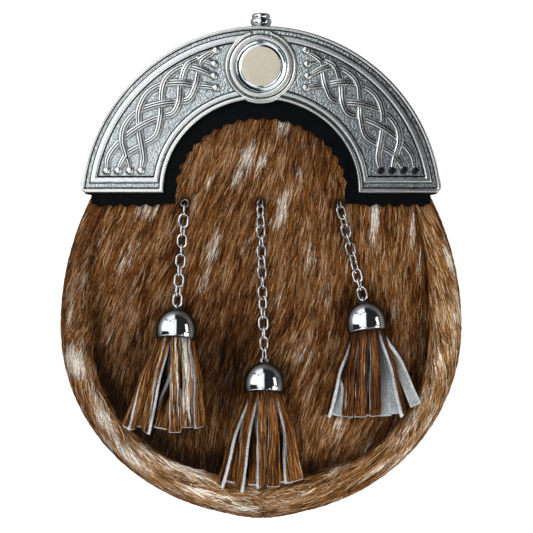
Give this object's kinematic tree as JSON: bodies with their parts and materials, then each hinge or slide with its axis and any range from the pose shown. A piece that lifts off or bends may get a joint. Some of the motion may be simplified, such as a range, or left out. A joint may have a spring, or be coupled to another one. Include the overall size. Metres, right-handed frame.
{
  "type": "sporran pouch",
  "caption": "Hair-on hide sporran pouch lying on its back, with a cast knotwork cantle over its mouth and chained tassels with metal bells.",
  "frame": {"origin": "bottom centre of the whole, on the face it rests on", "axes": "+Z out of the front, +Y towards the knob at the top of the cantle, +X to the right seen from the front"},
  "size_m": [0.1876, 0.2368, 0.0523],
  "materials": {
    "cast_pewter": "antiqued cast metal, polished high spots and a stippled ground",
    "polished_steel": "polished, faint scratches",
    "chrome": "bright plated",
    "black_leather": "smooth satin black",
    "brown_hide": "hair-on hide, brown with white patches, grey suede on its back"
  },
  "bodies": {
    "root": {"cantle": "cast_pewter", "medallion": "polished_steel", "knob": "chrome", "cantle_backing": "black_leather", "front_panel": "brown_hide", "gusset": "brown_hide", "back_panel": "black_leather", "left_strap_loop": "black_leather", "right_strap_loop": "black_leather", "left_eye_pin": "chrome", "left_bell": "chrome", "left_tassel": "brown_hide", "left_chain_link_01": "chrome", "left_chain_link_02": "chrome", "left_chain_link_03": "chrome", "left_chain_link_04": "chrome", "left_chain_link_05": "chrome", "left_chain_link_06": "chrome", "left_chain_link_07": "chrome", "left_chain_link_08": "chrome", "left_chain_link_09": "chrome", "left_chain_link_10": "chrome", "centre_eye_pin": "chrome", "centre_bell": "chrome", "centre_tassel": "brown_hide", "centre_chain_link_01": "chrome", "centre_chain_link_02": "chrome", "centre_chain_link_03": "chrome", "centre_chain_link_04": "chrome", "centre_chain_link_05": "chrome", "centre_chain_link_06": "chrome", "centre_chain_link_07": "chrome", "centre_chain_link_08": "chrome", "centre_chain_link_09": "chrome", "centre_chain_link_10": "chrome", "centre_chain_link_11": "chrome", "centre_chain_link_12": "chrome", "centre_chain_link_13": "chrome", "centre_chain_link_14": "chrome", "centre_chain_link_15": "chrome", "right_eye_pin": "chrome", "right_bell": "chrome", "right_tassel": "brown_hide", "right_chain_link_01": "chrome", "right_chain_link_02": "chrome", "right_chain_link_03": "chrome", "right_chain_link_04": "chrome", "right_chain_link_05": "chrome", "right_chain_link_06": "chrome", "right_chain_link_07": "chrome", "right_chain_link_08": "chrome", "right_chain_link_09": "chrome", "right_chain_link_10": "chrome"}
  },
  "joints": []
}
